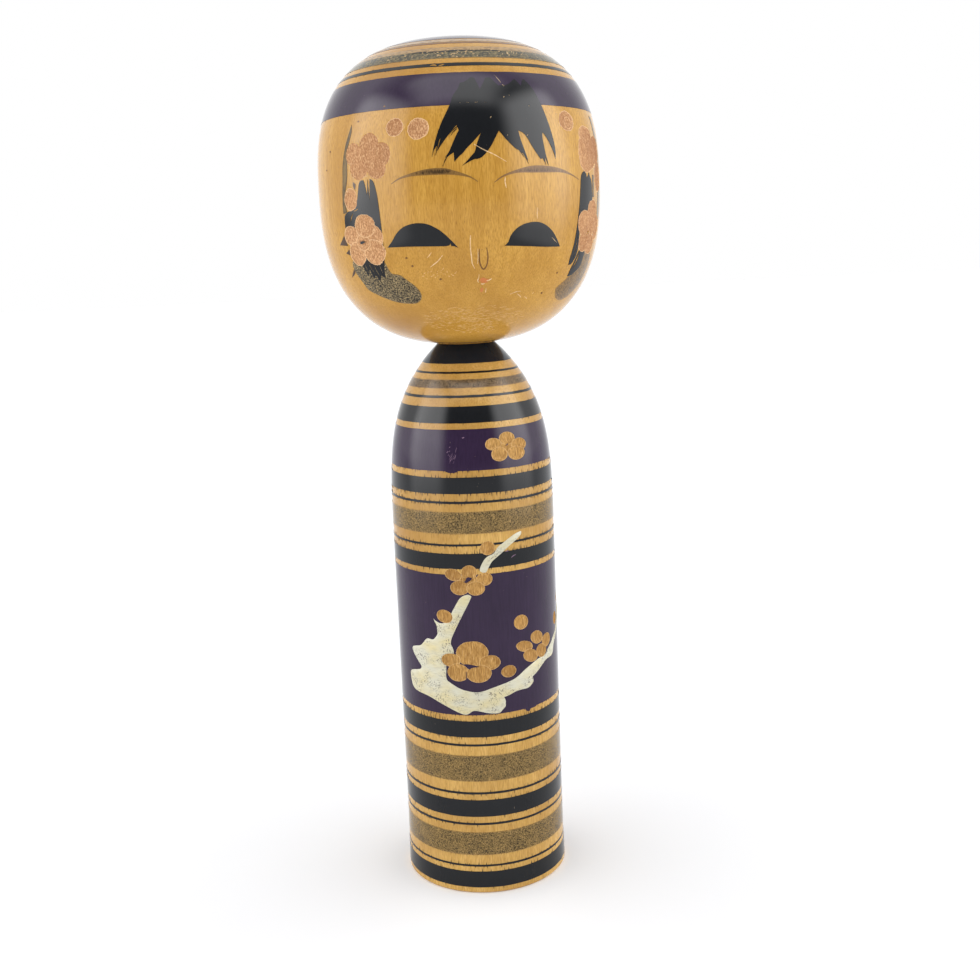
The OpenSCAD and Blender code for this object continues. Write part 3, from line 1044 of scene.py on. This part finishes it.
def stippled_ink(name, wood, ground, dots, size, low, high, fade):
    """Dots of dark ink, dabbed closely over varnished wood. The ink fades into the wood
    from the second to the first of the two distances in from its edge."""
    recipe = Recipe(name, Roughness=0.5, **VARNISH)
    dabs = recipe.noise(size, detail=1, shift=41)
    clumps = recipe.noise((2.4, 2.4, 2.4), detail=2, shift=43)
    clumping = 0.16
    density = recipe.calc("ADD", dabs, recipe.calc("MULTIPLY", clumps, clumping))
    ink = recipe.tint(ground, dots, density, low + clumping / 2, high + clumping / 2)
    recipe.bump((dabs, 0.01))
    return recipe.finish(recipe.tint(wood, ink, recipe.carved(), *fade))


def raised_cream():
    """Thick cream paint: clouded, streaked across and flecked grey. It is painted paler along
    its edges, a painted highlight on its rounded rim.
    """
    recipe = Recipe("cream_paint", Roughness=0.5, Coat_Weight=0.35, Coat_Roughness=0.3)
    cloud = recipe.noise((6.0, 6.0, 3.0), detail=3, shift=51)
    streaks = recipe.noise((2.4, 2.4, 0.5), detail=3, rough=0.6, shift=59)
    flecks = recipe.noise((0.35, 0.35, 0.4), detail=2, rough=0.6, shift=53)
    flecked = recipe.step(recipe.noise((3.5, 3.5, 3.5), detail=1, shift=57), 0.44, 0.6)
    colour = recipe.tint((203, 200, 178), (208, 195, 146), cloud, 0.38, 0.7)
    colour = recipe.tint(colour, (158, 150, 122), streaks, 0.5, 0.8, 0.6)
    colour = recipe.tint(colour, (104, 96, 84), flecks, 0.54, 0.62, flecked)
    # Paler towards its edges: a painted highlight where the raised paint rounds over
    colour = recipe.tint(colour, (208, 205, 184), recipe.carved(), 0.35, 0.0, 0.6)
    recipe.bump((cloud, 0.08), (flecks, 0.04))
    return recipe.finish(colour)


def bare_scrape(name, deep, light):
    """The pale line of a scratch, where varnish or dye is scraped off."""
    recipe = Recipe(name, Roughness=0.7)
    broken = recipe.noise((0.5, 0.5, 0.5), detail=2, shift=61)
    return recipe.finish(recipe.tint(deep, light, broken, 0.35, 0.65))


def bare_peg():
    """Pale unvarnished wood."""
    recipe = Recipe("peg_wood", Roughness=0.6)
    colour, fibres = grain_colour(recipe, (232, 205, 158), (222, 190, 138), (200, 164, 110),
                                  71.0)
    recipe.bump((fibres, 0.03))
    return recipe.finish(colour)


BLACK = coat_of_paint("black_ink", (15, 16, 19), (28, 30, 33), chips=0.5)
PURPLE = coat_of_paint("purple_dye", (30, 18, 39), (58, 42, 69), chips=0.6)
NECK_INK = coat_of_paint("neck_ink", (15, 24, 35), (24, 33, 43), chips=0.1)
THORN_INK = coat_of_paint("thorn_ink", (58, 40, 28), (92, 66, 42), chips=0.3)
BROWN = coat_of_paint("brown_ink", (96, 62, 28), (132, 92, 50), chips=0.2)
RED = coat_of_paint("red_paint", (188, 100, 50), (204, 138, 76), chips=0.9)
STIPPLE = stippled_ink("stippled_ink", (186, 144, 80), (168, 136, 80), (34, 30, 17),
                       (0.2, 0.2, 0.24), 0.34, 0.62, (-0.5, 0.35))
SHOULDER_INK = stippled_ink("shoulder_ink", (170, 134, 82), (146, 120, 84), (52, 42, 30),
                            (0.26, 0.26, 0.24), 0.32, 0.62, (-0.5, 0.3))
LEFT_SMUDGE_INK = stippled_ink("smudged_ink", (160, 126, 74), (168, 146, 104), (32, 30, 26),
                               (0.34, 0.34, 0.3), 0.3, 0.6, (-1.0, 0.4))
RIGHT_SMUDGE_INK = stippled_ink("washed_ink", (166, 128, 72), (144, 112, 64), (78, 58, 32),
                                (0.4, 0.4, 1.2), 0.3, 0.7, (-1.0, 0.8))
STRAND_INK = stippled_ink("thin_ink", (120, 96, 50), (88, 70, 38), (34, 28, 18),
                          (0.4, 0.4, 1.6), 0.35, 0.7, (0.6, -0.1))
LEFT_BROW_INK = stippled_ink("brow_ink", (146, 110, 60), (132, 100, 58), (64, 48, 30),
                             (0.2, 0.2, 0.9), 0.24, 0.56, (-0.2, 0.5))
RIGHT_BROW_INK = stippled_ink("faded_ink", (146, 110, 66), (126, 94, 62), (70, 52, 38),
                              (0.2, 0.2, 0.9), 0.3, 0.65, (-0.2, 0.5))
WORN_INK_LOW = stippled_ink("worn_ink", (150, 122, 74), (136, 120, 80), (52, 50, 36),
                            (0.7, 0.7, 0.4), 0.25, 0.6, (-0.4, 0.3))
WORN_INK_HIGH = stippled_ink("rubbed_ink", (176, 138, 84), (176, 146, 104), (92, 78, 64),
                             (1.2, 1.2, 0.3), 0.45, 0.65, (-0.4, 0.3))
CREAM = raised_cream()
SCRATCH = bare_scrape("scratch", (206, 166, 110), (234, 204, 158))
RUBBED = bare_scrape("rubbed_varnish", (204, 158, 90), (222, 182, 118))
SCUFF = bare_scrape("scuffed_dye", (84, 56, 84), (132, 98, 126))
TORSO_WOOD = varnished_wood("torso_wood", (218, 176, 102), (204, 162, 86), (160, 116, 52), 0.0)
HEAD_WOOD = varnished_wood("head_wood", (212, 163, 76), (198, 149, 63), (160, 111, 40), 83.0)
TORSO_SCOOPS = scooped_wood("torso_scoops", (211, 165, 95), (202, 154, 83), (130, 88, 40),
                            (218, 178, 120), 0.16, (0.3, 0.3, 2.0), 0.6)
HEAD_SCOOPS = scooped_wood("head_scoops", (222, 173, 123), (214, 163, 112), (146, 94, 56),
                           (228, 188, 142), 0.3, (0.35, 0.35, 0.55), 0.75)

# ------------------------------------------------------------------ wood

# The heights between which each turning's side is a net of small triangles, because the
# blossoms are gouged there, and the net's spacing on the plain wood and in the scoops.
# On the plain wood, every other row is moved on by a share of half a column.
TORSO_ZONE = (FOOT_BEVEL, 141.0)
HEAD_ZONE = (168.0, 226.0)
PLAIN_GRID = 1.5
SCOOP_GRID = 0.32
PLAIN_STAGGER = 0.96


def wood_zone(skin, turning, carving, low, high):
    """The turned side between two heights, with the blossoms gouged out of it."""
    columns = np.linspace(-turning.half_turn, turning.half_turn, turning.columns + 1)
    rows = np.linspace(low, high, int((high - low) / PLAIN_GRID) + 1)
    edge = np.concatenate([
        np.stack([columns[:-1], np.full(turning.columns, low)], axis=1),
        np.stack([np.full(len(rows) - 1, columns[-1]), rows[:-1]], axis=1),
        np.stack([columns[:0:-1], np.full(turning.columns, high)], axis=1),
        np.stack([np.full(len(rows) - 1, columns[0]), rows[:0:-1]], axis=1)])
    s, h = np.meshgrid(columns[1:-1], rows[1:-1])
    odd = (np.arange(len(s)) % 2)[:, None]
    s = (s + (columns[1] - columns[0]) / 2 * odd * PLAIN_STAGGER).ravel()
    h = h.ravel()
    clear = ~carving.holds(s, h)
    seeds = list(zip(s[clear], h[clear])) + carving.seeds(SCOOP_GRID)
    flat, faces = triangulate([edge] + carving.loops, seeds, lambda s, h: np.full(s.shape, True))
    middle = flat[faces].mean(axis=1)
    gouged = carving.holds(middle[:, 0], middle[:, 1])
    drape(skin, turning, flat, faces, carving.lift, gouged.astype(int), carving.inset)


def profile(radius_at, heights):
    return [(float(radius_at(h)), h) for h in heights]


def torso_wood():
    skin = Skin()
    wood_zone(skin, TORSO, torso_carving, *TORSO_ZONE)
    side_top = TORSO_ZONE[1]
    shoulder = side_top + (TORSO_TOP - side_top) * np.sin(np.linspace(0, math.pi / 2, 24))
    lathe(skin, TORSO, profile(torso_radius, shoulder))
    mouth_h = TORSO_TOP - MOUTH_DEPTH
    chamber_low = TORSO_TOP - CHAMBER_DEPTH
    mouth_r = PEG_R + RUNNING_GAP
    chamber_r = BEAD_R + RUNNING_GAP
    lathe(skin, TORSO, [(float(torso_radius(TORSO_TOP)), TORSO_TOP), (mouth_r, TORSO_TOP),
                        (mouth_r, mouth_h), (chamber_r, mouth_h), (chamber_r, chamber_low),
                        (0, chamber_low)])
    lathe(skin, TORSO, underside())
    return skin.build("torso_turning", TORSO, [TORSO_WOOD, TORSO_SCOOPS],
                      replaces="torso")


def underside():
    """The base as the lathe leaves it: the mark of the centre and fine turned grooves."""
    foot_r = float(torso_radius(0))
    outline = [(0, 1.2), (1.6, 0.2), (2.2, 0.0)]
    for radius in np.arange(4.0, foot_r - 2, 1.3):
        outline += [(radius, 0.0), (radius + 0.12, 0.1), (radius + 0.24, 0.0)]
    return outline + [(foot_r - FOOT_BEVEL, 0.0), (float(torso_radius(FOOT_BEVEL)), FOOT_BEVEL)]


def head_wood():
    skin = Skin()
    wood_zone(skin, HEAD, head_carving, *HEAD_ZONE)
    side_low, side_high = HEAD_ZONE
    seat_r = float(head_radius(TORSO_TOP))
    swing = np.linspace(0, math.pi / 2, 26)
    chin = TORSO_TOP + (side_low - TORSO_TOP) * (1 - np.cos(swing))
    crown = side_high + (head_high[2] - side_high) * np.sin(swing)
    socket_top = TORSO_TOP + HEAD_SOCKET_DEPTH
    lathe(skin, HEAD, [(0, socket_top), (PEG_R, socket_top), (PEG_R, TORSO_TOP),
                       (seat_r, TORSO_TOP)])
    lathe(skin, HEAD, profile(head_radius, chin))
    lathe(skin, HEAD, profile(head_radius, crown))
    return skin.build("head_turning", HEAD, [HEAD_WOOD, HEAD_SCOOPS],
                      replaces="head")


# ------------------------------------------------------------------ paint


def rings(turning, spans, reach):
    return [Ring(turning, *span, reach=reach, seed=int(10 * span[0])) for span in spans]


def torso_paint():
    hairs = [brush((s, foot, 0.2), (s, tip, 0.06)) for s, foot, tip in INK_HAIRS]
    film("torso_black_rings", TORSO, rings(TORSO, BLACK_RINGS, reach=1.2) + hairs, BLACK,
         [torso_carving])
    film("torso_fine_lines", TORSO, rings(TORSO, FINE_LINES, reach=0.95), BLACK,
         [torso_carving])
    purple = [Ring(TORSO, *LOW_PURPLE, reach=0.8, seed=1, runs=LOW_PURPLE_RUNS),
              Ring(TORSO, *HIGH_PURPLE, reach=1.0, seed=2, runs=HIGH_PURPLE_RUNS)]
    film("torso_purple_bands", TORSO, purple, PURPLE, [torso_carving])
    film("neck_cap", TORSO, rings(TORSO, [NECK_CAP], reach=0.1), NECK_INK)
    film("torso_stippled_bands", TORSO, rings(TORSO, STIPPLED_BANDS, reach=0.5), STIPPLE,
         feathered=True)
    film("shoulder_stippled_band", TORSO, rings(TORSO, [SHOULDER_STIPPLE], reach=0.5),
         SHOULDER_INK, feathered=True)
    film("torso_scuffs", TORSO, scatter(*PURPLE_SCUFFS) + strokes(TORSO_NICKS), SCUFF,
         lift=1.2 * LIFT)


# The branch's crown: its height at the edge, how far in it rounds over, and its further
# rise, of which a part is in lumps
BRANCH_EDGE = 0.08
BRANCH_ROUND = 0.45
BRANCH_RISE = 0.2
BRANCH_LUMPS = 0.1


def branch():
    """The raised cream branch: highest along its middle, and a little lumpy."""
    shapes = patches([TRUNK, TWIG])

    def crown(s, h):
        inner = np.min([rim_gap(shape.outline, s, h) for shape in shapes], axis=0)
        lumps = 0.5 + 0.25 * (np.sin(1.7 * s + 0.9 * h) + np.sin(2.3 * h - 1.1 * s))
        rise = BRANCH_RISE + BRANCH_LUMPS * lumps
        return BRANCH_EDGE + (1 - np.exp(-inner / BRANCH_ROUND)) * rise

    film("plum_branch", TORSO, shapes, CREAM, [torso_carving], crown=crown,
         grid=0.5, feathered=True)


def head_rings():
    film("head_purple_band", HEAD, rings(HEAD, [HEAD_PURPLE], reach=0.3), PURPLE,
         [scratches])
    film("head_fine_line", HEAD, rings(HEAD, [HEAD_LINE], reach=0.3), BLACK,
         [Group(strokes(LINE_CHIPS))])
    film("head_worn_band", HEAD, rings(HEAD, [WORN_LOW], reach=0.4), WORN_INK_LOW,
         feathered=True)
    film("head_thin_band", HEAD, rings(HEAD, [WORN_HIGH, GREY_LINE], reach=0.4), WORN_INK_HIGH,
         feathered=True)
    film("head_worn_line", HEAD, [brush(*WORN_INK)], BLACK, lift=1.6 * LIFT)
    film("head_band_dashes", HEAD, scatter(*BAND_DASHES), SCRATCH,
         lift=1.6 * LIFT)
    film("head_brown_line", HEAD, rings(HEAD, [BROWN_LINE], reach=0.2), BROWN)
    crown_cap()


def crown_cap():
    """The dyed cap on top of the head: ring on ring up to the pole."""
    skin = Skin()
    swing = np.linspace(0, math.pi / 2, 20)
    heights = CROWN_CAP_H + (head_high[2] - CROWN_CAP_H) * np.sin(swing)
    top = [(float(head_radius(h)), h) for h in heights]
    under = [(radius, h - SINK) for radius, h in top[::-1]]
    lathe(skin, HEAD, [under[-1]] + [(radius, h + LIFT) for radius, h in top])
    lathe(skin, HEAD, under)
    skin.build("head_crown_cap", HEAD, [PURPLE])


def face():
    film("eyes", HEAD, patches([LEFT_EYE, RIGHT_EYE]), BLACK, [scratches])
    film("left_brow", HEAD, [brush(*LEFT_BROW)], LEFT_BROW_INK, feathered=True)
    film("right_brow", HEAD, [brush(*RIGHT_BROW)], RIGHT_BROW_INK,
         [scratches], feathered=True)
    film("nose", HEAD, [brush(*NOSE)], BROWN)
    film("mouth", HEAD, strokes(MOUTH, step=0.3), RED, [scratches])


def hair():
    fringe = Patch(rounded(FRINGE, rounds=1, sharpest=40))
    film("fringe", HEAD, [fringe] + strokes(FRINGE_HAIRS), BLACK, [scratches],
         lift=2 * LIFT)
    film("side_locks", HEAD, patches(LOCKS), BLACK,
         [head_carving, Group(strokes(LOCK_GAPS))], lift=1.5 * LIFT)
    film("fine_strands", HEAD, patches(STRANDS), STRAND_INK, [head_carving],
         feathered=True)
    film("thorns", HEAD, patches(THORNS), THORN_INK, [head_carving])
    film("left_smudge", HEAD, patches([LEFT_SMUDGE]), LEFT_SMUDGE_INK,
         [head_carving], feathered=True)
    film("right_smudge", HEAD, patches([RIGHT_SMUDGE]), RIGHT_SMUDGE_INK,
         [head_carving], feathered=True)


def wear():
    """Scratches, the rubbed chin and cheek, and a few brown marks."""
    film("scratches", HEAD, scratches.patches, SCRATCH, lift=0.4 * LIFT)
    film("rubbed_varnish", HEAD, scatter(*CHIN_RUB) + scatter(*CHEEK_RUB), RUBBED,
         lift=0.4 * LIFT)
    marks = strokes([(s - 0.3, h, 0.2), (s, h + 0.1, 0.5), (s + 0.3, h, 0.2)]
                    for s, h in BROWN_MARKS)
    film("brown_marks", HEAD, marks, BROWN, lift=1.4 * LIFT)


# ------------------------------------------------------------------ stage, lights and camera

# The camera: its place about the doll's front line, and how it is held
CAMERA_AZIMUTH = -9.5
CAMERA_DISTANCE = 357.1 * MM
CAMERA_HEIGHT = 183.6 * MM
CAMERA_PAN = -0.84
CAMERA_PITCH = 10.77
CAMERA_ROLL = -2.27
CAMERA_LENS = 45.27
# The surround as the eye sees it, and its light on matt surfaces: a base, and what the
# surround's left and right sides add
WHITE = 1.0
MATT_BASE = 0.43
MATT_SIDES = 1.7
# The surround as gloss sees it: how far it lies on the camera's side (-1 to 1), brightness
GLOSS = [(-1.0, 1.15), (-0.5, 1.2), (-0.15, 2.0), (0.1, 1.2), (0.45, 0.25), (1.0, 0.2)]
# Panels that only gloss sees: azimuth from the camera, distance, height, tilt, (width,
# height), radiance. Each softbox stands on the left and on the right.
SOFTBOXES = {
    "side": (68, 0.9, 0.57, 0, (1.26, 1.2), 5.1),
    "low": (68, 0.55, 0.085, 0, (0.72, 0.24), 1.5),
}
TOP_LAMP = (0, 0.6, 1.13, 60, (1.7, 0.9), 3.6)
# The share of its half size over which a panel fades out towards each edge
FADE = 0.6


def around(azimuth, distance, height):
    angle = math.radians(azimuth)
    return Vector((distance * math.sin(angle), -distance * math.cos(angle), height))


def add_camera():
    camera = bpy.data.objects.new("camera", bpy.data.cameras.new("camera"))
    bpy.context.scene.collection.objects.link(camera)
    camera.data.lens = CAMERA_LENS
    camera.data.clip_start = 0.01
    turn = (Matrix.Rotation(math.radians(CAMERA_AZIMUTH + CAMERA_PAN), 4, "Z")
            @ Matrix.Rotation(math.radians(90 - CAMERA_PITCH), 4, "X")
            @ Matrix.Rotation(math.radians(CAMERA_ROLL), 4, "Z"))
    place = around(CAMERA_AZIMUTH, CAMERA_DISTANCE, CAMERA_HEIGHT)
    camera.matrix_world = Matrix.Translation(place) @ turn
    bpy.context.scene.camera = camera


def add_softbox(name, azimuth, distance, height, tilt, size, radiance):
    """A soft panel facing the doll, seen in gloss alone."""
    light = bpy.data.lights.new(name, "AREA")
    light.shape = "RECTANGLE"
    light.size, light.size_y = size
    light.energy = radiance * math.pi * size[0] * size[1]
    lamp = bpy.data.objects.new(name, light)
    bpy.context.scene.collection.objects.link(lamp)
    lamp.location = around(CAMERA_AZIMUTH + azimuth, distance, height)
    lamp.rotation_euler = (math.radians(90 - tilt), 0, math.radians(CAMERA_AZIMUTH + azimuth))
    lamp.visible_diffuse = False
    lamp.visible_camera = False
    fade_out(light)


def fade_out(light):
    """Makes an area light fade smoothly towards its four edges."""
    graph = Graph(light)
    across = graph.add("ShaderNodeSeparateXYZ")
    graph.feed(across.inputs["Vector"],
               graph.add("ShaderNodeNewGeometry").outputs["Parametric"])
    ramps = [graph.step(graph.calc("PINGPONG", across.outputs[side], 0.5), 0, FADE / 2,
                        kind="SMOOTHSTEP") for side in ("X", "Y")]
    graph.feed(graph.tree.nodes["Emission"].inputs["Strength"],
               graph.calc("MULTIPLY", *ramps))


def add_surround():
    """An even pale surround, with brighter sides for matt surfaces. Gloss sees it bright
    beside and behind the doll and dim on the camera's side, as in an open-fronted tent."""
    world = bpy.data.worlds.new("surround")
    graph = Graph(world)
    back = graph.tree.nodes["Background"]
    back.inputs["Color"].default_value = (1, 1, 1, 1)
    heading = graph.add("ShaderNodeTexCoord").outputs["Generated"]
    ray = graph.add("ShaderNodeLightPath")

    def along(azimuth):
        node = graph.add("ShaderNodeVectorMath", operation="DOT_PRODUCT")
        graph.feed(node.inputs[0], heading)
        node.inputs[1].default_value = around(CAMERA_AZIMUTH + azimuth, 1, 0)
        return node.outputs["Value"]

    def mix(share, a, b):
        return graph.calc("MULTIPLY_ADD", share, graph.calc("SUBTRACT", b, a), a)

    matt = graph.calc("MULTIPLY_ADD", graph.calc("ABSOLUTE", along(90)), MATT_SIDES, MATT_BASE)
    ramp = graph.add("ShaderNodeValToRGB")
    while len(ramp.color_ramp.elements) < len(GLOSS):
        ramp.color_ramp.elements.new(1.0)
    for element, (side, brightness) in zip(ramp.color_ramp.elements, GLOSS):
        element.position = (side + 1) / 2
        element.color = (brightness, brightness, brightness, 1)
    graph.feed(ramp.inputs["Fac"], graph.calc("MULTIPLY_ADD", along(0), 0.5, 0.5))
    lit = mix(ray.outputs["Is Glossy Ray"], matt, ramp.outputs["Color"])
    seen = mix(ray.outputs["Is Camera Ray"], lit, WHITE)
    graph.feed(back.inputs["Strength"], seen)
    bpy.context.scene.world = world


def add_floor():
    """A plain pale floor, 12 m square."""
    half = 6.0
    mesh = bpy.data.meshes.new("floor")
    mesh.from_pydata([(-half, -half, 0), (half, -half, 0), (half, half, 0), (-half, half, 0)],
                     [], [(0, 1, 2, 3)])
    floor = bpy.data.objects.new("floor", mesh)
    recipe = Recipe("floor", Roughness=0.9, Specular_IOR_Level=0.0)
    mottle = recipe.noise((60.0, 60.0, 60.0), detail=1)
    mesh.materials.append(recipe.finish(recipe.mix(mottle, (249, 250, 253), (252, 253, 255))))
    bpy.context.scene.collection.objects.link(floor)


bpy.context.scene.view_settings.view_transform = "Standard"
add_camera()
add_floor()
add_surround()
for name, (azimuth, *panel) in SOFTBOXES.items():
    add_softbox(f"softbox_{name}_left", -azimuth, *panel)
    add_softbox(f"softbox_{name}_right", azimuth, *panel)
add_softbox("softbox_top", *TOP_LAMP)
torso_wood()
head_wood()
torso_paint()
branch()
head_rings()
face()
hair()
wear()
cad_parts["neck_peg"].data.materials.clear()
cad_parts["neck_peg"].data.materials.append(bare_peg())
